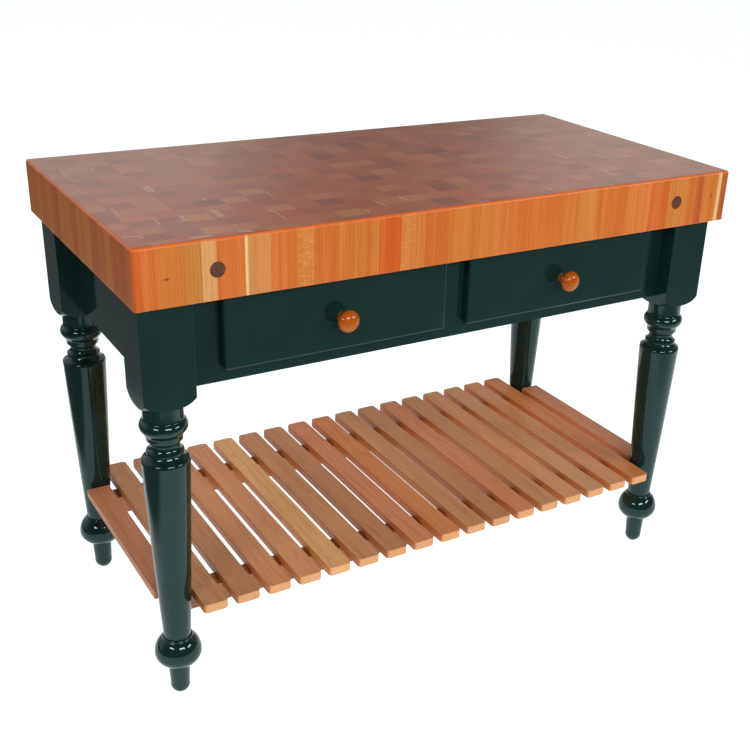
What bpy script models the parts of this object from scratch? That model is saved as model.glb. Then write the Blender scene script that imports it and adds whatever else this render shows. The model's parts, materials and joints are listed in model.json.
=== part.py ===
"""Butcher block table with a thick end-grain top, four turned legs, two drawers and a slatted shelf.

Metres, +Z up. X runs along the table, -Y is the drawer side, and the origin is on the floor under
the middle of the top. Pieces that touch keep GAP between them.
"""

import math

import bmesh
import bpy
from mathutils import Matrix, Vector

# Driving dimensions
TOP_LENGTH = 1.2192
TOP_DEPTH = 0.6096
TOP_THICKNESS = 0.100
HEIGHT = 0.880
GAP = 0.0003

# Top: edge rounding, and the tie rods that clamp the block from front to back
TOP_EDGE = 0.006
TOP_CORNER = 0.004
ROD_X = 0.475
ROD_RADIUS = 0.00635
ROD_BORE = 0.0073
NUT_RADIUS = 0.0105
NUT_THICKNESS = 0.010
PLUG_RADIUS = 0.0127
PLUG_THICKNESS = 0.011
PLUG_HOLE_DEPTH = 0.022

# Legs, turned from square stock
LEG_SQUARE = 0.089
OVERHANG_END = 0.012
OVERHANG_FRONT = 0.026
GLIDE_HEIGHT = 0.002
GLIDE_RADIUS = 0.0100
LEG_STEPS = 20

# Aprons
APRON_SETBACK = 0.0335
APRON_THICKNESS = 0.022
APRON_BOTTOM = 0.613
BRACE_THICKNESS = 0.022
BRACE_BOTTOM = 0.690
BRACE_TOP = 0.775

# Drawers
FRONT_WIDTH = 0.429
FRONT_THICKNESS = 0.019
FRONT_BOTTOM = 0.638
FRONT_TOP = 0.772
FRONT_HALF_GAP = 0.024
FRONT_LAP = 0.012
OPENING_BOTTOM = 0.650
OPENING_TOP = 0.760
SIDE_CLEARANCE = 0.002
SIDE_THICKNESS = 0.012
SIDE_TOP = 0.750
BOX_LENGTH = 0.440
PANEL_THICKNESS = 0.006
PANEL_RISE = 0.010
GROOVE_DEPTH = 0.006
KNOB_Z = 0.6995
KNOB_RADIUS = 0.0198
KNOB_REACH = 0.0398

# Runners that carry the drawer sides
LEDGE_WIDTH = 0.013
LEDGE_THICKNESS = 0.020
GUIDE_WIDTH = 0.024
GUIDE_HEIGHT = 0.020

# Slatted shelf
LONG_SLATS = 17
SLAT_WIDTH = 0.046
SLAT_THICKNESS = 0.018
SLAT_PITCH = 0.062
SLAT_REACH = 0.290
SHELF_TOP = 0.209
SLAT_CORNER = 0.008
SLAT_EDGE = 0.0015
SHORT_SLAT_REACH = 0.2049
RAIL_SQUARE = 0.038
RAIL_Y = 0.193
RAIL_REACH = 0.550
LEG_NOTCH = 0.0287

# Worked out from the above
TOP_BOTTOM = HEIGHT - TOP_THICKNESS
LEG_X = TOP_LENGTH / 2 - OVERHANG_END - LEG_SQUARE / 2
LEG_Y = TOP_DEPTH / 2 - OVERHANG_FRONT - LEG_SQUARE / 2
APRON_X = LEG_X + LEG_SQUARE / 2 - APRON_SETBACK
APRON_Y = LEG_Y + LEG_SQUARE / 2 - APRON_SETBACK
APRON_TOP = TOP_BOTTOM - GAP
DRAWER_X = FRONT_HALF_GAP + FRONT_WIDTH / 2
OPENING_WIDTH = FRONT_WIDTH - 2 * FRONT_LAP
BOX_WIDTH = OPENING_WIDTH - 2 * SIDE_CLEARANCE
SIDE_BOTTOM = OPENING_BOTTOM + SIDE_CLEARANCE
BOX_FRONT_Y = -APRON_Y
BOX_BACK_Y = BOX_FRONT_Y + BOX_LENGTH

# Colours: base colour, roughness, metallic
CHERRY_END_GRAIN = ((0.42, 0.16, 0.07), 0.35, 0.0)
CHERRY = ((0.48, 0.20, 0.09), 0.45, 0.0)
DARK_PLUG = ((0.07, 0.03, 0.02), 0.45, 0.0)
GREEN_PAINT = ((0.012, 0.040, 0.040), 0.25, 0.0)
AMBER_KNOB = ((0.45, 0.13, 0.02), 0.20, 0.0)
PALE_WOOD = ((0.62, 0.45, 0.28), 0.55, 0.0)
STEEL = ((0.55, 0.55, 0.55), 0.35, 1.0)
BROWN_NYLON = ((0.16, 0.09, 0.06), 0.50, 0.0)

for old in list(bpy.data.objects):
    bpy.data.objects.remove(old)

table = bpy.data.collections.new("butcher_block_table")
cutters = bpy.data.collections.new("cutters")
bpy.context.scene.collection.children.link(table)
bpy.context.scene.collection.children.link(cutters)


def finish(name, look):
    """A Principled material for one sub-part."""
    colour, roughness, metallic = look
    made = bpy.data.materials.new(name)
    made.use_nodes = True
    shader = made.node_tree.nodes["Principled BSDF"]
    shader.inputs["Base Color"].default_value = (*colour, 1.0)
    shader.inputs["Roughness"].default_value = roughness
    shader.inputs["Metallic"].default_value = metallic
    return made


def place(name, mesh, centre, look=None):
    """An object for a mesh: a part of the table, or a cutter if it has no look."""
    made = bpy.data.objects.new(name, mesh)
    made.location = centre
    if look is None:
        made.hide_render = True
        made.display_type = "WIRE"
        cutters.objects.link(made)
    else:
        mesh.materials.append(finish(name, look))
        table.objects.link(made)
    return made


def cube_mesh(name, size, corner=0.0, edge=0.0, corner_steps=2, edge_steps=1, bottom_edge=True):
    """A block whose upright edges are rounded by corner, and whose rims are rounded by edge."""
    shape = bmesh.new()
    bmesh.ops.create_cube(shape, size=1.0)
    bmesh.ops.scale(shape, vec=size, verts=shape.verts)
    if corner:
        upright = [e for e in shape.edges if abs((e.verts[0].co - e.verts[1].co).z) > size[2] / 2]
        bmesh.ops.bevel(
            shape, geom=upright, offset=corner, segments=corner_steps, profile=0.5, affect="EDGES"
        )
    if edge:
        rims = [e for e in shape.edges if is_rim(e, size[2] / 2, bottom_edge)]
        bmesh.ops.bevel(
            shape, geom=rims, offset=edge, segments=edge_steps, profile=0.5, affect="EDGES"
        )
    mesh = bpy.data.meshes.new(name)
    shape.to_mesh(mesh)
    shape.free()
    return mesh


def is_rim(edge, half_height, bottom_too):
    heights = [v.co.z for v in edge.verts]
    level = all(abs(abs(z) - half_height) < 1e-6 for z in heights)
    return level and (bottom_too or min(heights) > 0)


def block(name, low, high, look=None, **rounding):
    """A block between two opposite corners."""
    low, high = Vector(low), Vector(high)
    return place(name, cube_mesh(name, high - low, **rounding), (low + high) / 2, look)


def rod_mesh(name, radius, length, steps=20):
    """A cylinder along Y."""
    shape = bmesh.new()
    bmesh.ops.create_cone(
        shape,
        cap_ends=True,
        segments=steps,
        radius1=radius,
        radius2=radius,
        depth=length,
        matrix=Matrix.Rotation(math.radians(90), 4, "X"),
    )
    mesh = bpy.data.meshes.new(name)
    shape.to_mesh(mesh)
    shape.free()
    return mesh


def turned(name, profile, centre, look, steps):
    """A turned piece: (radius, height) points from top to bottom, spun round Z."""
    mesh = bpy.data.meshes.new(name)
    points = [(radius, 0, height) for radius, height in profile]
    mesh.from_pydata(points, [(i, i + 1) for i in range(len(points) - 1)], [])
    made = place(name, mesh, centre, look)
    screw = made.modifiers.new("turn", "SCREW")
    screw.axis = "Z"
    screw.steps = steps
    screw.render_steps = steps
    screw.use_merge_vertices = True
    screw.merge_threshold = 0.00001
    return made


def combine(made, other, operation):
    step = made.modifiers.new(other.name, "BOOLEAN")
    step.operation = operation
    step.object = other
    return made


def bow(start, end, sag, count):
    """Points of a curve that leaves start for end and swells by sag, without its first point."""
    (r0, z0), (r1, z1) = start, end
    span = math.hypot(r1 - r0, z1 - z0)
    across = ((z0 - z1) / span, (r1 - r0) / span)
    points = []
    for i in range(1, count + 1):
        t = i / count
        swell = 4 * sag * t * (1 - t)
        points.append((r0 + (r1 - r0) * t + across[0] * swell, z0 + (z1 - z0) * t + across[1] * swell))
    return points


def ball(radius, middle, rise, fall, start, end, count):
    """Points round a turned ball, from radius start above its middle to radius end below it."""
    first, last = math.acos(start / radius), -math.acos(end / radius)
    points = []
    for i in range(count + 1):
        turn = first + (last - first) * i / count
        height = rise if turn > 0 else fall
        points.append((radius * math.cos(turn), middle + height * math.sin(turn)))
    return points


def leg_profile(top, bottom):
    """Shoulders, neck, ring, cove, bead, shaft, ball and peg foot of a leg, from the top down."""
    points = [(0.0, top), (0.068, top), (0.068, 0.615), (0.0629, 0.6105)]
    points += bow(points[-1], (0.0346, 0.592), 0.0045, 5)
    points += [(0.0344, 0.565)]
    points += bow(points[-1], (0.0345, 0.539), 0.0062, 6)
    points += [(0.0322, 0.536), (0.0312, 0.532), (0.0308, 0.526)]
    points += bow(points[-1], (0.0295, 0.5065), -0.0050, 4)
    points += [(0.0314, 0.506), (0.0319, 0.5035), (0.0314, 0.5005), (0.0305, 0.4998)]
    points += bow(points[-1], (0.0386, 0.492), -0.0012, 3)
    points += [(0.0402, 0.4906), (0.0418, 0.486), (0.0416, 0.4835)]
    points += bow(points[-1], (0.0246, 0.1275), 0.0008, 3)
    points += [(0.0262, 0.127), (0.0276, 0.1242)]
    points += ball(0.0426, 0.091, 0.0426, 0.031, 0.0279, 0.0195, 9)
    points += [(0.0176, 0.020)]
    points += bow(points[-1], (0.0115, bottom), 0.0025, 4)
    return points + [(0.0, bottom)]


def leg(name, x, y):
    made = turned(name, leg_profile(APRON_TOP, GLIDE_HEIGHT + GAP), (x, y, 0), GREEN_PAINT, LEG_STEPS)
    half = LEG_SQUARE / 2
    stock = block(name + "_stock", (x - half, y - half, -0.01), (x + half, y + half, HEIGHT))
    return combine(made, stock, "INTERSECT")


def glide(name, x, y):
    profile = [(0.0, GLIDE_HEIGHT), (GLIDE_RADIUS, GLIDE_HEIGHT), (GLIDE_RADIUS, 0.0008)]
    profile += [(GLIDE_RADIUS - 0.0008, 0.0), (0.0, 0.0)]
    return turned(name, profile, (x, y, 0), BROWN_NYLON, 16)


def top():
    half_x, half_y = TOP_LENGTH / 2, TOP_DEPTH / 2
    made = block(
        "top",
        (-half_x, -half_y, TOP_BOTTOM),
        (half_x, half_y, HEIGHT),
        CHERRY_END_GRAIN,
        corner=TOP_CORNER,
        edge=TOP_EDGE,
        edge_steps=2,
        bottom_edge=False,
    )
    middle = (TOP_BOTTOM + HEIGHT) / 2
    for side, x in (("left", -ROD_X), ("right", ROD_X)):
        bore = place(f"bore_{side}", rod_mesh("bore", ROD_BORE, TOP_DEPTH + 0.02), (x, 0, middle))
        combine(made, bore, "DIFFERENCE")
        tie_rod(side, x, middle)
        for end, y in (("front", -half_y), ("back", half_y)):
            hole_mesh = rod_mesh("plug_hole", PLUG_RADIUS + GAP, 2 * PLUG_HOLE_DEPTH)
            combine(made, place(f"plug_hole_{end}_{side}", hole_mesh, (x, y, middle)), "DIFFERENCE")
            plug = rod_mesh("plug", PLUG_RADIUS, PLUG_THICKNESS)
            inward = -math.copysign(PLUG_THICKNESS / 2, y)
            place(f"plug_{end}_{side}", plug, (x, y + inward, middle), DARK_PLUG)


def tie_rod(side, x, z):
    """A threaded rod through the block with a nut at each end, under the plugs."""
    seat = TOP_DEPTH / 2 - PLUG_HOLE_DEPTH + GAP
    end = seat + NUT_THICKNESS
    profile = [(0.0, end), (NUT_RADIUS, end), (NUT_RADIUS, seat), (ROD_RADIUS, seat)]
    profile += [(radius, -height) for radius, height in reversed(profile)]
    made = turned(f"tie_rod_{side}", profile, (x, 0, z), STEEL, 16)
    made.rotation_euler = (math.radians(90), 0, 0)


def aprons():
    inner_x = LEG_X - LEG_SQUARE / 2 - GAP
    inner_y = LEG_Y - LEG_SQUARE / 2 - GAP
    for side, sign in (("left", -1), ("right", 1)):
        near, far = sorted((sign * APRON_X, sign * (APRON_X - APRON_THICKNESS)))
        block(
            f"apron_{side}", (near, -inner_y, APRON_BOTTOM), (far, inner_y, APRON_TOP), GREEN_PAINT
        )
    back_y = (APRON_Y - APRON_THICKNESS, APRON_Y)
    block(
        "apron_back",
        (-inner_x, back_y[0], APRON_BOTTOM),
        (inner_x, back_y[1], APRON_TOP),
        GREEN_PAINT,
    )
    front = block(
        "apron_front",
        (-inner_x, -APRON_Y, APRON_BOTTOM),
        (inner_x, -APRON_Y + APRON_THICKNESS, APRON_TOP),
        GREEN_PAINT,
    )
    for side, x in (("left", -DRAWER_X), ("right", DRAWER_X)):
        opening = block(
            f"opening_{side}",
            (x - OPENING_WIDTH / 2, -APRON_Y - 0.01, OPENING_BOTTOM),
            (x + OPENING_WIDTH / 2, -APRON_Y + APRON_THICKNESS + 0.01, OPENING_TOP),
        )
        combine(front, opening, "DIFFERENCE")


def corner_brace(name, sign_x, sign_y):
    """A board across a corner, from the side apron to the front or back one, against the leg."""
    wall_x = APRON_X - APRON_THICKNESS - GAP
    wall_y = APRON_Y - APRON_THICKNESS - GAP
    outer = LEG_X + LEG_Y - LEG_SQUARE - 2 * GAP
    inner = outer - BRACE_THICKNESS * math.sqrt(2)
    outline = [
        (wall_x, outer - wall_x),
        (outer - wall_y, wall_y),
        (inner - wall_y, wall_y),
        (wall_x, inner - wall_x),
    ]
    shape = bmesh.new()
    ring = [shape.verts.new((sign_x * x, sign_y * y, BRACE_BOTTOM)) for x, y in outline]
    base = shape.faces.new(ring)
    grown = bmesh.ops.extrude_face_region(shape, geom=[base])
    raised = [v for v in grown["geom"] if isinstance(v, bmesh.types.BMVert)]
    bmesh.ops.translate(shape, vec=(0, 0, BRACE_TOP - BRACE_BOTTOM), verts=raised)
    bmesh.ops.recalc_face_normals(shape, faces=shape.faces)
    mesh = bpy.data.meshes.new(name)
    shape.to_mesh(mesh)
    shape.free()
    place(name, mesh, (0, 0, 0), PALE_WOOD)


def runners():
    """An outer L-shaped runner beside each drawer, and a T-shaped one between them."""
    reach = APRON_Y - APRON_THICKNESS - GAP
    top_z = SIDE_BOTTOM - GAP
    low_z = top_z - LEDGE_THICKNESS
    box_edge = DRAWER_X + BOX_WIDTH / 2
    for side, sign in (("left", -1), ("right", 1)):
        ledge_x = sorted((sign * (box_edge - LEDGE_WIDTH), sign * (box_edge + GUIDE_WIDTH)))
        guide_x = sorted((sign * (box_edge + SIDE_CLEARANCE / 2), sign * (box_edge + GUIDE_WIDTH)))
        made = block(
            f"runner_{side}", (ledge_x[0], -reach, low_z), (ledge_x[1], reach, top_z), PALE_WOOD
        )
        guide = block(
            f"guide_{side}", (guide_x[0], -reach, low_z), (guide_x[1], reach, top_z + GUIDE_HEIGHT)
        )
        combine(made, guide, "UNION")
    inner_edge = DRAWER_X - BOX_WIDTH / 2
    ledge = inner_edge + LEDGE_WIDTH
    fin = inner_edge - SIDE_CLEARANCE / 2
    made = block("runner_centre", (-ledge, -reach, low_z), (ledge, reach, top_z), PALE_WOOD)
    guide = block("guide_centre", (-fin, -reach, low_z), (fin, reach, top_z + GUIDE_HEIGHT))
    combine(made, guide, "UNION")


def knob_profile():
    """A domed knob with a ring behind its head, from its crown down to its foot."""
    points = ball(KNOB_RADIUS, KNOB_REACH - 0.0133, 0.0133, 0.0090, 0.0, 0.0125, 9)
    points[0] = (0.0, KNOB_REACH)
    points += [(0.0122, 0.0188)]
    points += bow(points[-1], (0.0120, 0.0125), 0.0020, 4)
    points += bow(points[-1], (0.0085, 0.0), -0.0010, 3)
    return points + [(0.0, 0.0)]


def drawer(side, x):
    """One drawer, hung on an empty that stands at its mouth, on the line that it slides along."""
    slide = bpy.data.objects.new(f"drawer_{side}_slide", None)
    slide.location = (x, -APRON_Y, (FRONT_BOTTOM + FRONT_TOP) / 2)
    table.objects.link(slide)
    label = f"drawer_{side}"
    edge = BOX_WIDTH / 2
    panel_z = (SIDE_BOTTOM + PANEL_RISE, SIDE_BOTTOM + PANEL_RISE + PANEL_THICKNESS)
    back_y = BOX_BACK_Y - SIDE_THICKNESS

    front = block(
        f"{label}_front",
        (x - FRONT_WIDTH / 2, -APRON_Y - FRONT_THICKNESS - GAP, FRONT_BOTTOM),
        (x + FRONT_WIDTH / 2, -APRON_Y - GAP, FRONT_TOP),
        GREEN_PAINT,
    )
    soften = front.modifiers.new("soften", "BEVEL")
    soften.width = 0.003
    soften.segments = 2
    pieces = [front]
    groove_x = edge - SIDE_THICKNESS + GROOVE_DEPTH
    groove = block(
        f"{label}_groove",
        (x - groove_x, BOX_FRONT_Y - 0.01, panel_z[0] - GAP),
        (x + groove_x, BOX_BACK_Y + 0.01, panel_z[1] + GAP),
    )
    for hand, low_x in (("left", x - edge), ("right", x + edge - SIDE_THICKNESS)):
        board = block(
            f"{label}_side_{hand}",
            (low_x, BOX_FRONT_Y, SIDE_BOTTOM),
            (low_x + SIDE_THICKNESS, BOX_BACK_Y, SIDE_TOP),
            PALE_WOOD,
        )
        pieces.append(combine(board, groove, "DIFFERENCE"))
    inside = edge - SIDE_THICKNESS - GAP
    pieces.append(
        block(
            f"{label}_back",
            (x - inside, back_y, panel_z[1] + GAP),
            (x + inside, BOX_BACK_Y, SIDE_TOP),
            PALE_WOOD,
        )
    )
    pieces.append(
        block(
            f"{label}_bottom",
            (x - groove_x + GAP, BOX_FRONT_Y, panel_z[0]),
            (x + groove_x - GAP, BOX_BACK_Y, panel_z[1]),
            PALE_WOOD,
        )
    )
    knob_y = -APRON_Y - FRONT_THICKNESS - 2 * GAP
    knob = turned(f"{label}_knob", knob_profile(), (x, knob_y, KNOB_Z), AMBER_KNOB, 24)
    knob.rotation_euler = (math.radians(90), 0, 0)
    pieces.append(knob)
    bpy.context.view_layer.update()
    for piece in pieces:
        piece.parent = slide
        piece.matrix_parent_inverse = slide.matrix_world.inverted()
    groove.parent = slide
    groove.matrix_parent_inverse = slide.matrix_world.inverted()


def leg_notches():
    """A clearance round each leg shaft, where the shelf rails pass it."""
    made = []
    for x in (-LEG_X, LEG_X):
        for y in (-LEG_Y, LEG_Y):
            shape = bmesh.new()
            bmesh.ops.create_cone(
                shape, cap_ends=True, segments=24, radius1=LEG_NOTCH, radius2=LEG_NOTCH, depth=0.1
            )
            mesh = bpy.data.meshes.new("leg_notch")
            shape.to_mesh(mesh)
            shape.free()
            made.append(place(f"leg_notch_{len(made)}", mesh, (x, y, SHELF_TOP - 0.03)))
    return made


def shelf():
    """Slats across two long rails. The short end slats fit between the legs."""
    low_z = SHELF_TOP - SLAT_THICKNESS
    count = LONG_SLATS + 2
    for i in range(count):
        x = (i - (count - 1) / 2) * SLAT_PITCH
        short = i in (0, count - 1)
        reach = SHORT_SLAT_REACH if short else SLAT_REACH
        block(
            f"slat_{i + 1:02d}",
            (x - SLAT_WIDTH / 2, -reach, low_z),
            (x + SLAT_WIDTH / 2, reach, SHELF_TOP),
            CHERRY,
            corner=0.0 if short else SLAT_CORNER,
            edge=SLAT_EDGE,
        )
    notches = leg_notches()
    for name, y in (("shelf_rail_front", -RAIL_Y), ("shelf_rail_back", RAIL_Y)):
        rail = block(
            name,
            (-RAIL_REACH, y - RAIL_SQUARE / 2, low_z - GAP - RAIL_SQUARE),
            (RAIL_REACH, y + RAIL_SQUARE / 2, low_z - GAP),
            CHERRY,
        )
        for notch in notches:
            combine(rail, notch, "DIFFERENCE")


top()
for end_name, y_sign in (("front", -1), ("back", 1)):
    for side_name, x_sign in (("left", -1), ("right", 1)):
        leg(f"leg_{end_name}_{side_name}", x_sign * LEG_X, y_sign * LEG_Y)
        glide(f"glide_{end_name}_{side_name}", x_sign * LEG_X, y_sign * LEG_Y)
        corner_brace(f"corner_brace_{end_name}_{side_name}", x_sign, y_sign)
aprons()
runners()
drawer("left", -DRAWER_X)
drawer("right", DRAWER_X)
shelf()
for part in table.objects:
    if part.type == "MESH":
        part.data.shade_smooth()
        part.data.set_sharp_from_angle(angle=math.radians(35))
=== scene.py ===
import json
import math

import bmesh
import bpy
from mathutils import Matrix, Vector

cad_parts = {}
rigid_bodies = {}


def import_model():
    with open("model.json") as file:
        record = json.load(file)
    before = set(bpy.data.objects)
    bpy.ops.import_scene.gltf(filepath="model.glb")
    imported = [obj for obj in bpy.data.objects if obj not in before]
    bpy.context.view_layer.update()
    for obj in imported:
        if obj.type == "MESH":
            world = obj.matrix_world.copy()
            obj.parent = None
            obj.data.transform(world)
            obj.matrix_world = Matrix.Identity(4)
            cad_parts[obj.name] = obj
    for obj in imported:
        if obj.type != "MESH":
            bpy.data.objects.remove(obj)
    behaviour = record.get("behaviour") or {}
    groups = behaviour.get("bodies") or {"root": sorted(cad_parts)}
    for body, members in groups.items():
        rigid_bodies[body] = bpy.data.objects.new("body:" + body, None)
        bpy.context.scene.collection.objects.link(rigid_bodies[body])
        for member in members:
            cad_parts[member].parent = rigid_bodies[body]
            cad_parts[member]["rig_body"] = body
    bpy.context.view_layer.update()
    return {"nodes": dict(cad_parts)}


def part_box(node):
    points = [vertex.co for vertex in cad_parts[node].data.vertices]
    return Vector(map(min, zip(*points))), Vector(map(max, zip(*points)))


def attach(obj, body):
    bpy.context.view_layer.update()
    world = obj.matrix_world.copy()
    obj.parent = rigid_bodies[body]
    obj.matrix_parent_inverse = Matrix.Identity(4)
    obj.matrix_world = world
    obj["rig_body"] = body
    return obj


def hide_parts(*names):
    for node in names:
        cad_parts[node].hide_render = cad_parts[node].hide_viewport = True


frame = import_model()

nodes = frame["nodes"]

SIDES = ("left", "right")
ENDS = ("front", "back")

TOP_LENGTH, TOP_DEPTH = 1.2192, 0.6096
MM = 0.001

# The block top is glued from blocks on a plain grid, cut through at its edges
BLOCK_X, BLOCK_Y = 0.0470, 0.0372
FIRST_BLOCK_X, FIRST_BLOCK_Y = 0.0336, 0.0216

# How far the edges of the block top are rounded, above and below
TOP_EDGE, TOP_LOWER_EDGE = 0.0055, 0.0012

# The plugs: the air round each, the bevel of its rim, and how far its hole is cut each way
PLUG_CLEARANCE, PLUG_RIM, HOLE_REACH = 0.0002, 0.0004, 0.02

# How far the edges of the square part of each leg are rounded
STOCK_EDGE = 0.0011

# The slats of the shelf: how many, their pitch, and how far corners and edges are rounded
SLAT_COUNT, SLAT_PITCH, SLAT_CORNER, SLAT_EDGE = 19, 0.062, 0.008, 0.0015

# Edges that turn by more than these angles, in degrees, are shaded sharp
FLAT_WORK_ANGLE, TURNED_ANGLE, LEG_ANGLE = 60.0, 38.0, 30.0

# The left edge of the painted pool of light on the floor: a point on it, and the way into the
# pool
POOL_EDGE, INTO_POOL = (-1.03, -0.238, 0.0), (0.992, -0.129, 0.0)

# What the softboxes point at
LIT_POINT = (0.0, -0.2, 0.5)


# ---------------------------------------------------------------- camera

def aim(azimuth, elevation, roll):
    """A camera rotation: azimuth 0 looks along +Y, elevation is above the horizon."""
    a, e, r = (math.radians(v) for v in (azimuth, elevation, roll))
    back = Vector((math.sin(a) * math.cos(e), -math.cos(a) * math.cos(e), math.sin(e)))
    flat_right = Vector((math.cos(a), math.sin(a), 0.0))
    flat_up = back.cross(flat_right)
    right = flat_right * math.cos(r) + flat_up * math.sin(r)
    up = flat_up * math.cos(r) - flat_right * math.sin(r)
    return Matrix((right, up, back)).transposed()


def make_camera():
    data = bpy.data.cameras.new("camera")
    camera = bpy.data.objects.new("camera", data)
    bpy.context.scene.collection.objects.link(camera)
    place = Matrix.Translation((-1.0817, -1.8477, 1.3932))
    camera.matrix_world = place @ aim(azimuth=-32.278, elevation=25.125, roll=2.333).to_4x4()
    data.sensor_width = 36.0
    data.lens = 53.60
    data.shift_x = -0.0540
    data.shift_y = 0.0281
    bpy.context.scene.camera = camera


# ---------------------------------------------------------------- meshes

def mesh_object(name, shape, material, angle=35.0):
    mesh = bpy.data.meshes.new(name)
    shape.to_mesh(mesh)
    shape.free()
    mesh.materials.append(material)
    mesh.shade_smooth()
    mesh.set_sharp_from_angle(angle=math.radians(angle))
    made = bpy.data.objects.new(name, mesh)
    bpy.context.scene.collection.objects.link(made)
    return made


def box_shape(low, high):
    shape = bmesh.new()
    bmesh.ops.create_cube(shape, size=1.0)
    bmesh.ops.scale(shape, vec=high - low, verts=shape.verts)
    bmesh.ops.translate(shape, vec=(low + high) / 2, verts=shape.verts)
    return shape


def bevel(shape, edges, width, steps, clamp=False):
    bmesh.ops.bevel(
        shape,
        geom=edges,
        offset=width,
        segments=steps,
        profile=0.5,
        affect="EDGES",
        clamp_overlap=clamp,
    )


def height_of(edge):
    return abs(edge.verts[0].co.z - edge.verts[1].co.z)


def rounded_block(name, low, high, material, edge, steps=3, corner=0.0):
    """A block with every edge rounded, and its upright edges rounded more if corner is given."""
    shape = box_shape(Vector(low), Vector(high))
    edges = list(shape.edges)
    if corner:
        bevel(shape, [e for e in edges if height_of(e) > 1e-4], corner, 6)
        edges = [e for e in shape.edges if height_of(e) < 1e-5]
    bevel(shape, edges, edge, steps)
    made = mesh_object(name, shape, material, angle=FLAT_WORK_ANGLE)
    flatten_shading(made)
    return made


def lathe(name, profile, centre, material, steps, axis="Z", angle=TURNED_ANGLE):
    """Spins (radius, height) points, listed from end to end, round a line through centre."""
    shape = bmesh.new()
    rings = []
    for radius, height in profile:
        if radius < 1e-7:
            rings.append([shape.verts.new((0.0, 0.0, height))])
            continue
        turns = [2 * math.pi * (i + 0.5) / steps for i in range(steps)]
        ring = [(radius * math.cos(t), radius * math.sin(t), height) for t in turns]
        rings.append([shape.verts.new(point) for point in ring])
    for upper, lower in zip(rings, rings[1:]):
        for i in range(steps):
            j = (i + 1) % steps
            if len(upper) == 1:
                shape.faces.new((upper[0], lower[i], lower[j]))
            elif len(lower) == 1:
                shape.faces.new((upper[i], lower[0], upper[j]))
            else:
                shape.faces.new((upper[i], lower[i], lower[j], upper[j]))
    bmesh.ops.recalc_face_normals(shape, faces=shape.faces)
    if axis == "Y":
        bmesh.ops.rotate(shape, verts=shape.verts, matrix=Matrix.Rotation(math.pi / 2, 3, "X"))
    bmesh.ops.translate(shape, vec=centre, verts=shape.verts)
    return mesh_object(name, shape, material, angle)


def bow(start, end, sag, count):
    """Points from start to end along an arc that swells outwards by sag, without the first."""
    (r0, z0), (r1, z1) = start, end
    span = math.hypot(r1 - r0, z1 - z0)
    across = ((z0 - z1) / span, (r1 - r0) / span)
    points = []
    for t in (i / count for i in range(1, count + 1)):
        swell = 4 * sag * t * (1 - t)
        radius = r0 + (r1 - r0) * t + across[0] * swell
        points.append((radius, z0 + (z1 - z0) * t + across[1] * swell))
    return points


def apply_all(made):
    bpy.context.view_layer.update()
    graph = bpy.context.evaluated_depsgraph_get()
    mesh = bpy.data.meshes.new_from_object(made.evaluated_get(graph))
    made.modifiers.clear()
    made.data = mesh


def cut(made, other, operation):
    step = made.modifiers.new("cut", "BOOLEAN")
    step.operation = operation
    step.solver = "EXACT"
    step.object = other
    apply_all(made)
    bpy.data.objects.remove(other)


def flatten_shading(made, angle=FLAT_WORK_ANGLE, weight=100):
    """Large flat faces keep their own normals, and the rounded edges turn between them."""
    made.data.shade_smooth()
    made.data.set_sharp_from_angle(angle=math.radians(angle))
    step = made.modifiers.new("weighted", "WEIGHTED_NORMAL")
    step.weight = weight
    step.keep_sharp = True
    apply_all(made)


# ---------------------------------------------------------------- materials

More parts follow.
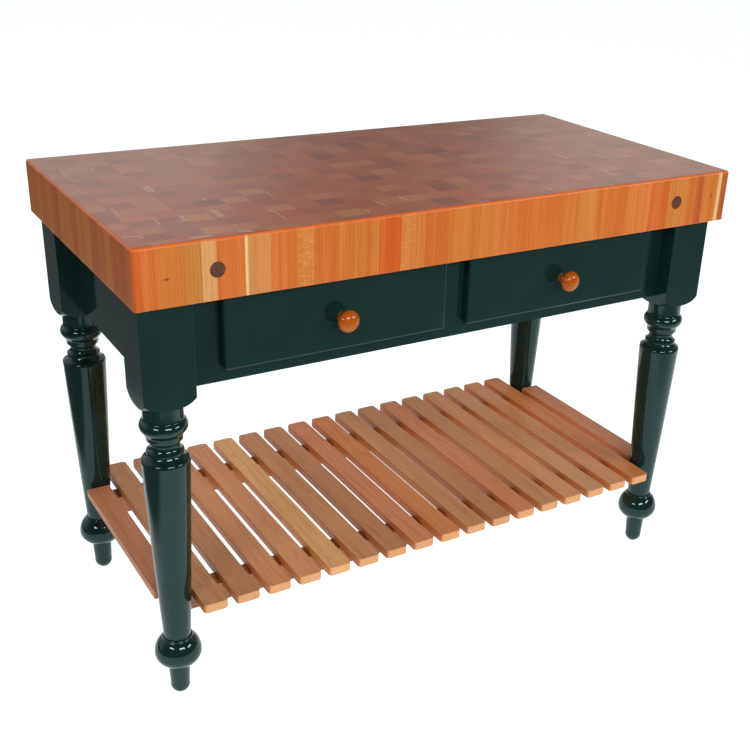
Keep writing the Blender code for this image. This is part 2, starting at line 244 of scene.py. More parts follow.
class Graph:
    """A material's node tree, with a short call for each kind of node."""

    def __init__(self, name):
        self.material = bpy.data.materials.new(name)
        self.material.use_nodes = True
        self.tree = self.material.node_tree
        self.shader = self.tree.nodes["Principled BSDF"]

    def put(self, socket, value):
        if isinstance(value, bpy.types.NodeSocket):
            self.tree.links.new(value, socket)
        elif value is not None:
            socket.default_value = value

    def node(self, kind, inputs=(), **settings):
        made = self.tree.nodes.new(kind)
        for name, value in settings.items():
            setattr(made, name, value)
        for key, value in dict(inputs).items():
            self.put(made.inputs[key], value)
        return made

    def math(self, operation, a, b=None, c=None, clamp=False):
        made = self.node("ShaderNodeMath", operation=operation, use_clamp=clamp)
        for socket, value in zip(made.inputs, (a, b, c)):
            self.put(socket, value)
        return made.outputs[0]

    def vector(self, operation, a, b=None, scale=None):
        made = self.node("ShaderNodeVectorMath", operation=operation)
        self.put(made.inputs[0], a)
        self.put(made.inputs[1], b)
        if scale is not None:
            self.put(made.inputs["Scale"], scale)
        return made.outputs["Value" if operation in ("LENGTH", "DOT_PRODUCT") else "Vector"]

    def place(self):
        return self.node("ShaderNodeTexCoord").outputs["Object"]

    def facing(self):
        return self.split(self.node("ShaderNodeNewGeometry").outputs["Normal"])

    def split(self, vector):
        return self.node("ShaderNodeSeparateXYZ", {0: vector}).outputs

    def join(self, x=0.0, y=0.0, z=0.0):
        return self.node("ShaderNodeCombineXYZ", {0: x, 1: y, 2: z}).outputs[0]

    def random(self, cell):
        """Three random numbers for a cell."""
        made = self.node("ShaderNodeTexWhiteNoise", {0: cell}, noise_dimensions="3D")
        return self.node("ShaderNodeSeparateColor", {0: made.outputs["Color"]}).outputs

    def noise(self, vector, scale, detail=2.0, rough=0.5, distort=0.0):
        made = self.node("ShaderNodeTexNoise", {"Vector": vector, "Scale": scale})
        made.inputs["Detail"].default_value = detail
        made.inputs["Roughness"].default_value = rough
        made.inputs["Distortion"].default_value = distort
        return made.outputs["Fac"]

    def stretch(self, vector, scale):
        return self.vector("MULTIPLY", vector, scale)

    def ramp(self, value, stops, kind="LINEAR"):
        """stops are (position, colour or grey)."""
        made = self.node("ShaderNodeValToRGB", {0: value})
        made.color_ramp.interpolation = kind
        points = made.color_ramp.elements
        while len(points) < len(stops):
            points.new(0.5)
        for point, (position, colour) in zip(points, stops):
            point.position = position
            grey = isinstance(colour, (int, float))
            point.color = (colour, colour, colour, 1.0) if grey else (*colour, 1.0)
        return made.outputs[0]

    def mix(self, share, a, b, blend="MIX"):
        made = self.node("ShaderNodeMix", data_type="RGBA", blend_type=blend, clamp_factor=True)
        self.put(made.inputs[0], share)
        self.put(made.inputs[6], (*a, 1.0) if isinstance(a, tuple) else a)
        self.put(made.inputs[7], (*b, 1.0) if isinstance(b, tuple) else b)
        return made.outputs[2]

    def span(self, value, low, high, to_low=0.0, to_high=1.0, smooth=False):
        made = self.node("ShaderNodeMapRange", {0: value, 1: low, 2: high, 3: to_low, 4: to_high})
        made.interpolation_type = "SMOOTHSTEP" if smooth else "LINEAR"
        return made.outputs[0]

    def bump(self, height, distance, strength):
        made = self.node("ShaderNodeBump", {"Height": height})
        made.inputs["Distance"].default_value = distance
        made.inputs["Strength"].default_value = strength
        return made.outputs[0]

    def finish(self, colour, roughness, normal=None, **constants):
        colour = (*colour, 1.0) if isinstance(colour, tuple) else colour
        self.put(self.shader.inputs["Base Color"], colour)
        self.put(self.shader.inputs["Roughness"], roughness)
        self.put(self.shader.inputs["Normal"], normal)
        for name, value in constants.items():
            self.shader.inputs[name.replace("_", " ")].default_value = value
        return self.material


def seen(red, green, blue):
    """The linear colour of an 8-bit sRGB one."""
    return tuple(
        v / 12.92 if v <= 0.04045 else ((v + 0.055) / 1.055) ** 2.4
        for v in (red / 255, green / 255, blue / 255)
    )


BRICK, RED, RUST = seen(194, 88, 36), seen(208, 94, 24), seen(172, 78, 32)
ORANGE, AMBER = seen(206, 112, 38), seen(206, 120, 44)
SALMON, TAN = seen(216, 124, 54), seen(208, 128, 54)
OLIVE, CREAM, LINE = seen(200, 132, 58), seen(222, 164, 104), seen(240, 200, 140)

# What the long edges of the block show, by distance from the left end in millimetres
EDGE_STRIPS = (
    (0, RED), (12, seen(226, 124, 58)), (22, seen(220, 124, 52)), (42, AMBER), (80, OLIVE),
    (108, CREAM), (129, seen(218, 122, 50)), (178, LINE), (181, seen(208, 142, 76)),
    (222, SALMON), (250, ORANGE), (270, TAN), (297, ORANGE), (342, AMBER), (414, TAN),
    (417, RED), (459, TAN), (505, ORANGE), (555, AMBER), (650, SALMON), (680, ORANGE),
    (835, TAN), (880, ORANGE), (965, SALMON), (1012, seen(208, 104, 40)), (1062, TAN),
    (1110, ORANGE), (1130, BRICK), (1152, AMBER), (1190, LINE), (1197, RUST),
)

# How strongly the growth rings show as upright lines, from each distance on
RINGED_STRIPS = (
    (0, 0.15), (12, 0.95), (40, 0.25), (108, 0.05), (129, 0.85), (178, 0.10),
    (297, 0.45), (342, 0.15), (505, 0.35), (555, 0.10), (1130, 0.60), (1152, 0.20),
)

# How strongly a ripple crosses the strips, from each distance on
RIPPLED_STRIPS = ((0, 0.0), (270, 1.0), (297, 0.0), (459, 0.7), (490, 0.0))

# The knots: x, z, half-width and half-height
KNOTS = ((-0.5572, 0.826, 0.0050, 0.0018), (0.5664, 0.834, 0.0016, 0.0055))

# Pale sapwood strokes on the top: start, end and half-width, in millimetres from the middle
SAPWOOD = (
    ((-477, 21), (-478, -9), 3.8),
    ((-469, 23), (-470, -10), 4.4),
    ((-426, -162), (-427, -200), 3.0),
    ((-420, -163), (-421, -199), 3.4),
    ((-525, -163), (-528, -202), 1.8),
    ((-482, -170), (-485, -199), 3.6),
    ((-500, -200), (-484, -200), 1.6),
    ((-341, -199), (-335, -208), 3.5),
    ((-335, -206), (-335, -250), 1.9),
    ((-600, -243), (-574, -247), 2.4),
    ((-574, -247), (-573, -259), 1.8),
    ((-506, -287), (-480, -288), 5.0),
    ((-428, -284), (-414, -292), 5.0),
    ((-568, -90), (-568, -126), 2.0),
    ((-193, -262), (-192, -272), 4.0),
    ((-97, -206), (-97, -232), 3.0),
    ((365, -54), (366, -92), 3.4),
    ((444, -92), (447, -128), 3.4),
    ((502, -96), (503, -134), 2.6),
    ((368, -206), (368, -238), 3.2),
    ((368, -238), (378, -240), 2.4),
    ((182, -266), (184, -276), 5.0),
    ((407, -252), (407, -272), 1.8),
    ((-388, 278), (-391, 244), 1.8),
    ((-575, 190), (-577, 130), 1.5),
    ((-577, 130), (-566, 98), 1.8),
    ((-522, 182), (-520, 172), 3.0),
    ((-412, -84), (-410, -100), 2.0),
    ((-296, -92), (-296, -118), 2.0),
    ((-150, -222), (-149, -252), 1.6),
)


def stroke(g, p, start, end, half_width):
    """Distance from a line on the top, in half-widths of the stroke."""
    a, b = Vector((*start, 0.0)) * MM, Vector((*end, 0.0)) * MM
    along = b - a
    from_start = g.vector("SUBTRACT", p, tuple(a))
    share = g.vector("DOT_PRODUCT", from_start, tuple(along / along.length_squared))
    share = g.math("ADD", share, 0.0, clamp=True)
    off = g.vector("SUBTRACT", from_start, g.vector("SCALE", tuple(along), scale=share))
    return g.math("DIVIDE", g.vector("LENGTH", off), half_width * MM)


def by_strip(g, from_left, strips):
    """What the strip at a distance from the left end of the block carries."""
    stops = [(mm * MM / TOP_LENGTH, value) for mm, value in strips]
    return g.ramp(g.math("DIVIDE", from_left, TOP_LENGTH), stops, kind="CONSTANT")


def end_grain():
    """Cherry blocks glued on end: rings and tones on the top, upright grain on the sides."""
    g = Graph("end_grain_cherry")
    p = g.place()
    x, y, z = g.split(p)[0:3]
    sx = g.math("DIVIDE", g.math("ADD", x, TOP_LENGTH / 2 - FIRST_BLOCK_X), BLOCK_X)
    sy = g.math("DIVIDE", g.math("ADD", y, TOP_DEPTH / 2 - FIRST_BLOCK_Y), BLOCK_Y)
    cell = g.join(g.math("FLOOR", sx), g.math("FLOOR", sy), 0.5)
    turn, reach, phase = g.random(cell)[0:3]
    tone, dark, tint = g.random(g.vector("ADD", cell, (17.3, 5.1, 2.7)))[0:3]
    facing = g.facing()
    on_top = g.span(g.math("ABSOLUTE", facing[2]), 0.86, 0.985, smooth=True)
    on_long_edge = g.span(g.math("ABSOLUTE", facing[1]), 0.45, 0.60)

    # Growth rings round a line that stands outside each block
    lx = g.math("MULTIPLY", g.math("SUBTRACT", g.math("FRACT", sx), 0.5), BLOCK_X)
    ly = g.math("MULTIPLY", g.math("SUBTRACT", g.math("FRACT", sy), 0.5), BLOCK_Y)
    angle = g.math("MULTIPLY", turn, 2 * math.pi)
    far = g.math("MULTIPLY_ADD", reach, 0.10, 0.045)
    cx = g.math("MULTIPLY", g.math("COSINE", angle), far)
    cy = g.math("MULTIPLY", g.math("SINE", angle), far)
    away = g.join(g.math("SUBTRACT", lx, cx), g.math("SUBTRACT", ly, cy), 0.0)
    upright = g.stretch(p, (1.0, 1.0, 0.06))
    sway = g.noise(g.vector("ADD", upright, g.vector("SCALE", cell, scale=3.1)), 24.0)
    sideways = g.math("SUBTRACT", sway, 0.5)
    distance = g.math("MULTIPLY_ADD", sideways, 0.010, g.vector("LENGTH", away))
    spacing = g.math("MULTIPLY_ADD", tint, 0.0026, 0.0026)
    year = g.math("FRACT", g.math("ADD", g.math("DIVIDE", distance, spacing), phase))
    late = g.ramp(year, ((0.0, 0.1), (0.50, 0.2), (0.88, 1.0), (1.0, 0.1)))
    bold = g.math("MULTIPLY", late, g.span(phase, 0.0, 1.0, 0.14, 0.60))

    # Heartwood: a tone for each block on the top, strips on the sides
    top_tone = g.ramp(
        tone,
        (
            (0.0, seen(160, 80, 37)),
            (0.35, seen(172, 90, 41)),
            (0.70, seen(180, 98, 45)),
            (1.0, seen(194, 118, 62)),
        ),
    )
    rare = g.math("MULTIPLY", g.math("LESS_THAN", dark, 0.07), 0.6)
    top_tone = g.mix(rare, top_tone, seen(132, 60, 38))
    top_tone = g.mix(g.span(tint, 0.72, 0.80, 0.0, 0.45), top_tone, seen(192, 88, 30))
    warm = g.noise(p, 16.0, 2.0)
    top_tone = g.mix(g.span(warm, 0.35, 0.70, 0.0, 0.35), top_tone, seen(184, 96, 46))
    short_tone = g.ramp(
        tone,
        (
            (0.0, seen(190, 98, 42)),
            (0.30, ORANGE),
            (0.70, AMBER),
            (1.0, seen(204, 128, 58)),
        ),
    )
    from_left = g.math("MULTIPLY_ADD", sideways, 0.004, g.math("ADD", x, TOP_LENGTH / 2))
    side_tone = g.mix(on_long_edge, short_tone, by_strip(g, from_left, EDGE_STRIPS))

    streak = g.noise(g.stretch(p, (1.0, 1.0, 0.012)), 420.0, 3.0, 0.6)
    broad = g.noise(g.stretch(p, (1.0, 1.0, 0.04)), 75.0, 2.0, 0.5)
    # A few strips have rings cut straight through, which show as fine dark lines
    ringed = by_strip(g, from_left, RINGED_STRIPS)
    lines = g.math("FRACT", g.math("DIVIDE", from_left, 3.1 * MM))
    lines = g.ramp(lines, ((0.0, 0.1), (0.45, 0.15), (0.80, 1.0), (1.0, 0.1)))
    lines = g.math("MULTIPLY", g.math("MULTIPLY", lines, ringed), on_long_edge)
    side = g.mix(g.math("MULTIPLY", bold, 0.6), side_tone, seen(190, 130, 90), "MULTIPLY")
    side = g.mix(lines, side, seen(216, 160, 126), "MULTIPLY")
    side = g.mix(g.span(streak, 0.40, 0.72, 0.0, 0.42), side, seen(206, 170, 140), "MULTIPLY")
    side = g.mix(g.span(broad, 0.42, 0.72, 0.0, 0.28), side, seen(222, 142, 72))
    side = g.mix(g.span(broad, 0.46, 0.28, 0.0, 0.20), side, seen(196, 92, 40))

    # Ripple figure across a few strips, and two small knots
    ripple = g.noise(g.stretch(p, (0.22, 0.22, 1.0)), 330.0, 2.0, 0.5, 0.5)
    rippled = by_strip(g, from_left, RIPPLED_STRIPS)
    ripple = g.math("MULTIPLY", g.span(ripple, 0.50, 0.66, 0.0, 0.28), rippled)
    side = g.mix(ripple, side, seen(236, 176, 120))
    for kx, kz, wide, tall in KNOTS:
        gap = g.join(
            g.math("DIVIDE", g.math("SUBTRACT", x, kx), wide),
            g.span(y, -0.3, -0.29, 0.0, 9.0),
            g.math("DIVIDE", g.math("SUBTRACT", z, kz), tall),
        )
        knot = g.span(g.vector("LENGTH", gap), 0.5, 1.25, 0.85, 0.0)
        side = g.mix(knot, side, seen(92, 42, 24))

    top = g.mix(g.math("MULTIPLY", late, 0.22), top_tone, seen(190, 130, 110), "MULTIPLY")
    wavy = g.noise(p, 130.0, 2.0)
    nudge = g.vector("SCALE", g.join(g.math("SUBTRACT", wavy, 0.5), sideways), scale=0.006)
    flat = g.vector("ADD", g.stretch(p, (1.0, 1.0, 0.0)), nudge)
    nearest = None
    for start, end, half_width in SAPWOOD:
        found = stroke(g, flat, start, end, half_width)
        nearest = found if nearest is None else g.math("MINIMUM", nearest, found)
    top = g.mix(g.span(nearest, 0.65, 1.10, 0.62, 0.0), top, seen(202, 164, 112))
    # Painted highlight: the rounded edge of the top is painted brighter than its sides, where
    # light from above falls on it
    painted_edge_highlight = g.span(g.math("ABSOLUTE", facing[2]), 0.12, 0.50)
    side = g.mix(g.math("MULTIPLY", painted_edge_highlight, 0.60), side, seen(238, 108, 34))
    colour = g.mix(on_top, side, top)

    # Pores: dots on the top, short upright dashes on the sides
    dots = g.noise(g.stretch(p, (1.0, 1.0, 0.06)), 1500.0, 1.0, 0.5)
    colour = g.mix(g.span(dots, 0.60, 0.74, 0.0, 0.22), colour, seen(160, 124, 96), "MULTIPLY")

    # Glue lines
    edge_x = g.math("SUBTRACT", 0.5 * BLOCK_X, g.math("ABSOLUTE", lx))
    edge_y = g.math("SUBTRACT", 0.5 * BLOCK_Y, g.math("ABSOLUTE", ly))
    seam = g.span(g.math("MINIMUM", edge_x, edge_y), 0.0002, 0.0006, 1.0, 0.0)
    seam = g.math("MULTIPLY", seam, g.span(g.noise(p, 35.0), 0.35, 0.65, 0.06, 0.34))
    seam = g.math("MULTIPLY", seam, on_top)
    colour = g.mix(seam, colour, (0.34, 0.20, 0.14), "MULTIPLY")

    grain = g.math("MULTIPLY_ADD", dots, 0.5, g.math("MULTIPLY", late, 0.25))
    height = g.math("MULTIPLY_ADD", seam, -0.5, grain)
    normal = g.bump(height, 0.00008, 0.4)
    oil = g.math("MULTIPLY", g.math("SUBTRACT", g.noise(p, 9.0, 3.0, 0.6), 0.5), 0.10)
    rough = g.math("ADD", oil, g.span(on_top, 0.0, 1.0, 0.36, 0.24))
    return g.finish(colour, rough, normal, Specular_IOR_Level=0.36)


def cherry(name, along, tones, boards=None, roughness=0.34, level=0.5):
    """Side-grain cherry along an axis, with a tone for each board if boards are given."""
    g = Graph(name)
    p = g.place()
    x = g.split(p)[0]
    board = 0.0
    if boards:
        board = g.math("FLOOR", g.math("ADD", g.math("DIVIDE", x, SLAT_PITCH), 0.5))
    cell = g.join(board, 4.5, 1.5)
    shift, tone, lean = g.random(cell)[0:3]
    slide = g.vector("SCALE", g.join(shift, lean, tone), scale=7.0)
    moved = g.vector("ADD", p, slide)
    end = "XYZ".index(along)
    squeeze, fine = (
        tuple(share if i == end else 1.0 for i in range(3)) for share in (0.05, 0.010)
    )
    figure = g.noise(g.stretch(moved, squeeze), 34.0, 3.0, 0.55, 0.6)
    bands = g.math("FRACT", g.math("MULTIPLY", figure, 8.0))
    late = g.ramp(bands, ((0.0, 0.0), (0.6, 0.3), (0.93, 1.0), (1.0, 0.0)))
    streak = g.noise(g.stretch(moved, fine), 520.0, 3.0, 0.6)
    base = g.ramp(tone, tones)
    if boards:
        stops = [(i / len(boards), colour) for i, colour in enumerate(boards)]
        share = g.math("MULTIPLY_ADD", x, 1 / (SLAT_PITCH * len(boards)), 0.5)
        base = g.ramp(share, stops, kind="CONSTANT")
    colour = g.mix(g.math("MULTIPLY", late, 0.30), base, seen(196, 144, 110), "MULTIPLY")
    colour = g.mix(g.span(streak, 0.40, 0.72, 0.0, 0.36), colour, seen(206, 176, 150), "MULTIPLY")
    pale = g.noise(g.stretch(moved, squeeze), 11.0, 2.0, 0.5)
    colour = g.mix(g.span(pale, 0.50, 0.70, 0.0, 0.35), colour, tones[-1][1])
    pores = g.noise(g.stretch(moved, tuple(3 * v for v in fine)), 900.0, 1.0, 0.5)
    colour = g.mix(g.span(pores, 0.62, 0.75, 0.0, 0.30), colour, seen(150, 118, 92), "MULTIPLY")
    facing = g.facing()
    on_end = g.span(g.math("ABSOLUTE", facing[end]), 0.6, 0.9)
    rings = g.noise(g.stretch(moved, squeeze), 300.0, 2.0, 0.5, 0.8)
    cut_end = g.mix(g.span(rings, 0.35, 0.70, 0.0, 0.40), tones[-1][1], tones[0][1])
    cut_end = g.mix(0.35, cut_end, base)
    if boards:
        # Painted shade: the sides of the slats, which face the gaps between them, are darkened
        painted_gap_shade = g.span(g.math("ABSOLUTE", facing[0]), 0.6, 0.9)
        colour = g.mix(painted_gap_shade, colour, seen(232, 206, 172), "MULTIPLY")
    colour = g.mix(on_end, colour, cut_end)
    height = g.math("MULTIPLY_ADD", streak, 0.7, g.math("MULTIPLY", late, 0.3))
    rough = g.math("MULTIPLY_ADD", streak, 0.12, roughness - 0.06)
    return g.finish(colour, rough, g.bump(height, 0.00012, 0.5), Specular_IOR_Level=level)


def paint():
    """Dark green lacquer over wood: the grain shows faintly in the gloss."""
    g = Graph("green_lacquer")
    p = g.place()
    grain = g.noise(g.stretch(p, (1.0, 1.0, 0.04)), 160.0, 2.0, 0.5)
    peel = g.noise(p, 60.0, 2.0, 0.4)
    wide = g.noise(p, 7.0, 3.0, 0.55)
    colour = g.mix(g.span(wide, 0.3, 0.7), (0.0046, 0.0172, 0.0142), (0.0066, 0.0222, 0.0195))
    height = g.math("MULTIPLY_ADD", grain, 0.5, peel)
    rough = g.math("MULTIPLY_ADD", g.noise(p, 24.0, 3.0, 0.6), 0.05, 0.05)
    made = g.finish(colour, rough, g.bump(height, 0.00003, 0.18), Specular_IOR_Level=0.38)
    g.shader.inputs["Specular Tint"].default_value = (0.72, 0.98, 1.0, 1.0)
    return made


def amber():
    g = Graph("amber_knob")
    p = g.place()
    rings = g.noise(g.stretch(p, (1.0, 0.15, 1.0)), 120.0, 3.0, 0.5, 0.5)
    colour = g.mix(g.span(rings, 0.35, 0.7), seen(178, 90, 4), seen(158, 68, 3))
    rough = g.math("MULTIPLY_ADD", g.noise(p, 90.0), 0.06, 0.20)
    return g.finish(
        colour, rough, g.bump(rings, 0.00006, 0.3),
        Specular_IOR_Level=0.2, Coat_Weight=0.25, Coat_Roughness=0.06,
    )


def walnut():
    g = Graph("walnut_plug")
    p = g.place()
    rings = g.noise(g.stretch(p, (1.0, 0.1, 0.35)), 380.0, 3.0, 0.6, 0.4)
    pores = g.noise(g.stretch(p, (1.0, 0.2, 1.0)), 1600.0, 1.0)
    colour = g.mix(g.span(rings, 0.35, 0.7), seen(100, 62, 42), seen(76, 46, 30))
    colour = g.mix(g.span(pores, 0.55, 0.7, 0.0, 0.5), colour, seen(56, 34, 24))
    rough = g.math("MULTIPLY_ADD", pores, 0.2, 0.36)
    return g.finish(colour, rough, g.bump(pores, 0.00008, 0.5), Specular_IOR_Level=0.3)


def steel():
    g = Graph("zinc_steel")
    p = g.place()
    turned = g.noise(g.stretch(p, (1.0, 30.0, 1.0)), 60.0, 2.0)
    colour = g.mix(turned, (0.45, 0.45, 0.46), (0.62, 0.62, 0.63))
    rough = g.span(turned, 0.3, 0.7, 0.28, 0.42)
    return g.finish(colour, rough, g.bump(turned, 0.0001, 0.3), Metallic=1.0)


def nylon():
    g = Graph("nylon_glide")
    p = g.place()
    scuff = g.noise(p, 420.0, 3.0, 0.6)
    colour = g.mix(g.span(scuff, 0.4, 0.7), (0.020, 0.017, 0.015), (0.055, 0.048, 0.042))
    return g.finish(colour, g.span(scuff, 0.3, 0.7, 0.40, 0.62), g.bump(scuff, 0.0002, 0.4))


HONEY, PEACH, ROSE = seen(228, 176, 118), seen(214, 150, 104), seen(212, 142, 100)
BISCUIT, NUT, GINGER = seen(202, 146, 100), seen(192, 136, 94), seen(212, 138, 84)

# The boards of the shelf from left to right
SHELF_BOARDS = (
    ROSE, BISCUIT, NUT, PEACH, PEACH, HONEY, BISCUIT, NUT, ROSE, GINGER,
    BISCUIT, NUT, ROSE, BISCUIT, PEACH, BISCUIT, PEACH, GINGER, ROSE,
)
SLAT_TONES = ((0.0, seen(192, 126, 78)), (1.0, seen(224, 166, 116)))
RAIL_TONES = ((0.0, seen(176, 110, 62)), (1.0, seen(190, 126, 76)))
MAPLE_TONES = ((0.0, seen(206, 172, 130)), (1.0, seen(214, 184, 144)))


# ---------------------------------------------------------------- pieces

def stand_for(made, node):
    """A finer piece takes the place of a CAD node and moves with its body."""
    made.name = "fine_" + node
    made.data.name = made.name
    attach(made, nodes[node]["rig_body"])
    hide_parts(node)
    return made


def paint_node(node, material):
    slots = nodes[node].material_slots
    if slots:
        slots[0].material = material
    else:
        nodes[node].data.materials.append(material)


def eased(node, material, width=0.0015):
    """The CAD board again, with its sharp edges rounded over."""
    shape = bmesh.new()
    shape.from_mesh(nodes[node].data)
    shape.transform(nodes[node].matrix_world)
    bmesh.ops.dissolve_limit(shape, angle_limit=0.01, verts=shape.verts, edges=shape.edges)
    sharp = [e for e in shape.edges if len(e.link_faces) == 2 and e.calc_face_angle() > 0.9]
    bevel(shape, sharp, width, 3, clamp=True)
    made = mesh_object("board", shape, material, angle=FLAT_WORK_ANGLE)
    flatten_shading(made)
    stand_for(made, node)


def block_top(material, plug_material):
    low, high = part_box("top")
    shape = box_shape(low, high)
    rounded = [e for e in shape.edges if max(v.co.z for v in e.verts) > high.z - 1e-5]
    bevel(shape, rounded, TOP_EDGE, 6)
    lower = [e for e in shape.edges if max(v.co.z for v in e.verts) < low.z + 1e-5]
    bevel(shape, lower, TOP_LOWER_EDGE, 2)
    large = [f for f in shape.faces if f.calc_area() > 0.03]
    bmesh.ops.inset_individual(shape, faces=large, thickness=0.002)
    made = mesh_object("top_block", shape, material, angle=FLAT_WORK_ANGLE)
    for end in ENDS:
        for side in SIDES:
            cut_for_plug(made, f"plug_{end}_{side}", end, material, plug_material)
    flatten_shading(made)
    stand_for(made, "top")


def cut_for_plug(top, name, end, material, plug_material):
    """A blind hole in the edge of the top, and the plug that fills it."""
    low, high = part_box(name)
    x, z = (low.x + high.x) / 2, (low.z + high.z) / 2
    radius, depth = (high.x - low.x) / 2, high.y - low.y
    outer, inner = (low.y, high.y) if end == "front" else (high.y, low.y)
    wide = radius + PLUG_CLEARANCE
    bore = ((0, HOLE_REACH), (wide, HOLE_REACH), (wide, -HOLE_REACH), (0, -HOLE_REACH))
    cut(top, lathe("hole", bore, (x, outer, z), material, 64, "Y"), "DIFFERENCE")
    out = 1 if end == "front" else -1
    profile = (
        (0.0, 0.0),
        (radius, 0.0),
        (radius, out * (depth - PLUG_RIM)),
        (radius - PLUG_RIM, out * depth),
        (0.0, out * depth),
    )
    plug = lathe("plug", profile, (x, inner, z), plug_material, 64, "Y")
    stand_for(plug, name)


def ball(radius, middle, rise, fall, start, end, count):
    """Points round a turned ball, from radius start above its middle to radius end below it."""
    first, last = math.acos(start / radius), -math.acos(end / radius)
    points = []
    for i in range(count + 1):
        turn = first + (last - first) * i / count
        height = rise if turn > 0 else fall
        points.append((radius * math.cos(turn), middle + height * math.sin(turn)))
    return points


def leg_profile(top, bottom):
    points = [(0.0, top), (0.068, top), (0.068, 0.615), (0.0629, 0.6105)]
    points += bow(points[-1], (0.0346, 0.592), 0.0045, 16)
    points += bow(points[-1], (0.0344, 0.565), -0.0003, 6)
    points += bow(points[-1], (0.0345, 0.539), 0.0062, 16)
    points += [(0.0330, 0.5368), (0.0322, 0.536), (0.0316, 0.5345), (0.0312, 0.532)]
    points += [(0.0308, 0.526)]
    points += bow(points[-1], (0.0295, 0.5065), -0.0050, 12)
    points += [(0.0306, 0.5064), (0.0314, 0.506), (0.0318, 0.5048), (0.0319, 0.5035)]
    points += [(0.0318, 0.5019), (0.0314, 0.5005), (0.0305, 0.4998)]
    points += bow(points[-1], (0.0386, 0.492), -0.0012, 8)
    points += [(0.0395, 0.4913), (0.0402, 0.4906), (0.0410, 0.4893), (0.0416, 0.4877)]
    points += [(0.0418, 0.486), (0.0418, 0.4848), (0.0416, 0.4835)]
    points += bow(points[-1], (0.0246, 0.1275), 0.0008, 24)
    points += [(0.0256, 0.1273), (0.0262, 0.127), (0.0270, 0.1262), (0.0275, 0.1253)]
    points += [(0.0276, 0.1242)]
    points += ball(0.0426, 0.091, 0.0426, 0.031, 0.0279, 0.0195, 40)
    points += bow(points[-1], (0.0176, 0.020), 0.0002, 4)
    points += bow(points[-1], (0.0115, bottom), 0.0025, 8)
    return points + [(0.0, bottom)]


def turned_leg(node, material):
    low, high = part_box(node)
    x, y = (low.x + high.x) / 2, (low.y + high.y) / 2
    profile = leg_profile(high.z, low.z)
    made = lathe("leg", profile, (x, y, 0.0), material, 120, angle=LEG_ANGLE)
    past = Vector((0.0, 0.0, 0.05))
    stock = rounded_block("stock", low - past, high + past, material, STOCK_EDGE)
    cut(made, stock, "INTERSECT")
    flatten_shading(made, LEG_ANGLE, 50)
    stand_for(made, node)


def knob(node, material):
    low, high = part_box(node)
    x, z = (low.x + high.x) / 2, (low.z + high.z) / 2
    reach = high.y - low.y
    points = ball((high.x - low.x) / 2, reach - 0.0133, 0.0133, 0.0090, 0.0, 0.0125, 40)
    points[0] = (0.0, reach)
    points += bow(points[-1], (0.0122, 0.0188), -0.0003, 4)
    points += bow(points[-1], (0.0120, 0.0125), 0.0020, 12)
    points += bow(points[-1], (0.0085, 0.0), -0.0010, 10)
    made = lathe("knob", points + [(0.0, 0.0)], (x, high.y, z), material, 64, "Y", 40.0)
    stand_for(made, node)


def build():
    top_wood = end_grain()
    green = paint()
    slat_wood = cherry("cherry_slats", "Y", SLAT_TONES, SHELF_BOARDS, roughness=0.42, level=0.22)
    rail_wood = cherry("cherry_rails", "X", RAIL_TONES)
    maple_y = cherry("maple_along_y", "Y", MAPLE_TONES, roughness=0.5)
    maple_x = cherry("maple_along_x", "X", MAPLE_TONES, roughness=0.5)
    block_top(top_wood, walnut())
    knob_look, zinc, glide = amber(), steel(), nylon()
    for end in ENDS:
        for side in SIDES:
            turned_leg(f"leg_{end}_{side}", green)
            paint_node(f"glide_{end}_{side}", glide)
            eased(f"corner_brace_{end}_{side}", maple_x)
    for node in ("apron_front", "apron_back", "apron_left", "apron_right"):
        eased(node, green, 0.002)
    for side in SIDES:
        paint_node(f"tie_rod_{side}", zinc)
        front = f"drawer_{side}_front"
        board = rounded_block("front", *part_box(front), green, 0.0045, 6)
        stand_for(board, front)
        knob(f"drawer_{side}_knob", knob_look)
        for part in ("side_left", "side_right"):
            eased(f"drawer_{side}_{part}", maple_y, 0.001)
        eased(f"drawer_{side}_bottom", maple_y, 0.0005)
        eased(f"drawer_{side}_back", maple_x, 0.001)
    for node in ("runner_left", "runner_centre", "runner_right"):
        eased(node, maple_y)
    for node in ("shelf_rail_front", "shelf_rail_back"):
        eased(node, rail_wood)
    for i in range(1, SLAT_COUNT + 1):
        node = f"slat_{i:02d}"
        corner = 0.0 if i in (1, SLAT_COUNT) else SLAT_CORNER
        slat = rounded_block("slat", *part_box(node), slat_wood, SLAT_EDGE, corner=corner)
        stand_for(slat, node)


# ---------------------------------------------------------------- stage

def softbox(name, place, size, power):
    data = bpy.data.lights.new(name, "AREA")
    data.shape = "RECTANGLE"
    data.size, data.size_y = size
    data.energy = power
    light = bpy.data.objects.new(name, data)
    light.location = place
    aimed = Vector(LIT_POINT) - Vector(place)
    light.rotation_euler = aimed.to_track_quat("-Z", "Y").to_euler()
    bpy.context.scene.collection.objects.link(light)


def pale_floor():
    """A pale floor with a painted pool of light: inside the pool it is paler and glows, and the
    pool fades towards the front and the left.
    """
    g = Graph("pale_floor")
    p = g.place()
    x, y = g.split(p)[0:2]
    front = g.ramp(
        g.span(y, -4.5, -0.5),
        ((0.0, 0.05), (0.65, 0.08), (0.77, 0.15), (0.895, 1.0)),
    )
    slant = g.vector("DOT_PRODUCT", g.vector("SUBTRACT", p, POOL_EDGE), INTO_POOL)
    left = g.span(slant, -0.14, 0.04, 0.05, 1.0, smooth=True)
    painted_light_pool = g.math("MULTIPLY", front, left)
    colour = g.mix(painted_light_pool, (0.17, 0.19, 0.19), (0.50, 0.50, 0.50))
    made = g.finish(colour, 0.95, Specular_IOR_Level=0.0)
    # Painted light: the floor glows inside the pool, though it is no lamp
    g.put(g.shader.inputs["Emission Color"], (0.88, 1.0, 1.0, 1.0))
    g.put(g.shader.inputs["Emission Strength"], g.math("MULTIPLY", painted_light_pool, 0.96))
    return made


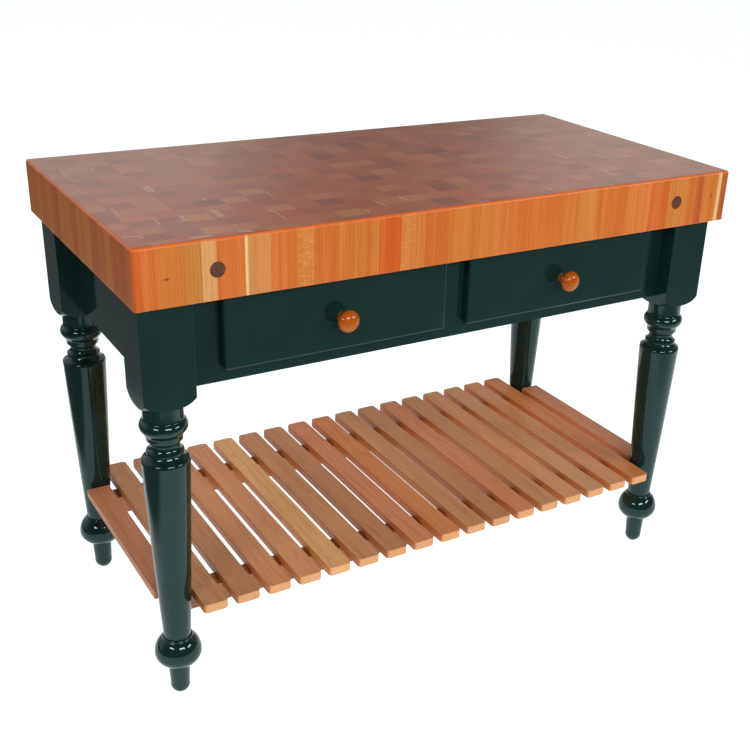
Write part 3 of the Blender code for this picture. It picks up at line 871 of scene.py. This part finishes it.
def studio():
    """Surroundings that are bright behind the table and dark in front of it."""
    world = bpy.data.worlds.new("studio")
    world.use_nodes = True
    tree = world.node_tree
    backdrop = tree.nodes["Background"]

    def node(kind, **settings):
        made = tree.nodes.new(kind)
        for name, value in settings.items():
            setattr(made, name, value)
        return made

    def ramp(value, stops):
        made = node("ShaderNodeValToRGB")
        made.color_ramp.interpolation = "EASE"
        points = made.color_ramp.elements
        while len(points) < len(stops):
            points.new(0.5)
        for point, (position, grey) in zip(points, stops):
            point.position = position
            point.color = (grey, grey, grey, 1.0)
        tree.links.new(value, made.inputs[0])
        return made.outputs[0]

    def maths(operation, a, b=None, c=None):
        made = node("ShaderNodeMath", operation=operation)
        for socket, value in zip(made.inputs, (a, b, c)):
            if isinstance(value, bpy.types.NodeSocket):
                tree.links.new(value, socket)
            elif value is not None:
                socket.default_value = value
        return made.outputs[0]

    def times(a, b):
        made = node("ShaderNodeMix", data_type="RGBA", blend_type="MULTIPLY")
        made.inputs[0].default_value = 1.0
        tree.links.new(a, made.inputs[6])
        tree.links.new(b, made.inputs[7])
        return made.outputs[2]

    direction = node("ShaderNodeTexCoord").outputs["Generated"]
    split = node("ShaderNodeSeparateXYZ")
    tree.links.new(direction, split.inputs[0])
    x, y, z = split.outputs
    # The camera's own side of the room is dim, and so is what stands beyond the table from it
    aside = maths("MULTIPLY_ADD", y, -0.5, maths("MULTIPLY", x, 0.866))
    dim = ramp(maths("ABSOLUTE", aside), ((0.0, 0.35), (0.05, 0.40), (0.18, 1.0)))
    to_back = maths("MULTIPLY_ADD", y, 0.5, 0.5)
    across = ramp(to_back, ((0.0, 0.09), (0.36, 0.10), (0.58, 0.32), (0.72, 1.0)))
    above = ramp(z, ((0.0, 1.0), (0.65, 1.0), (0.95, 0.55)))
    tree.links.new(times(times(across, above), dim), backdrop.inputs["Color"])
    backdrop.inputs["Strength"].default_value = 0.80
    bpy.context.scene.world = world


def make_stage():
    shape = bmesh.new()
    bmesh.ops.create_grid(shape, x_segments=1, y_segments=1, size=40.0)
    mesh_object("floor", shape, pale_floor())
    studio()
    softbox("softbox_left", (-2.60, -1.55, 1.85), (1.0, 0.28), 23.0)
    softbox("softbox_middle", (-0.35, -2.95, 1.95), (1.4, 0.34), 48.0)
    softbox("softbox_right", (2.20, -2.70, 1.95), (1.4, 0.34), 40.0)
    bpy.context.scene.view_settings.view_transform = "Standard"


make_camera()
build()
make_stage()
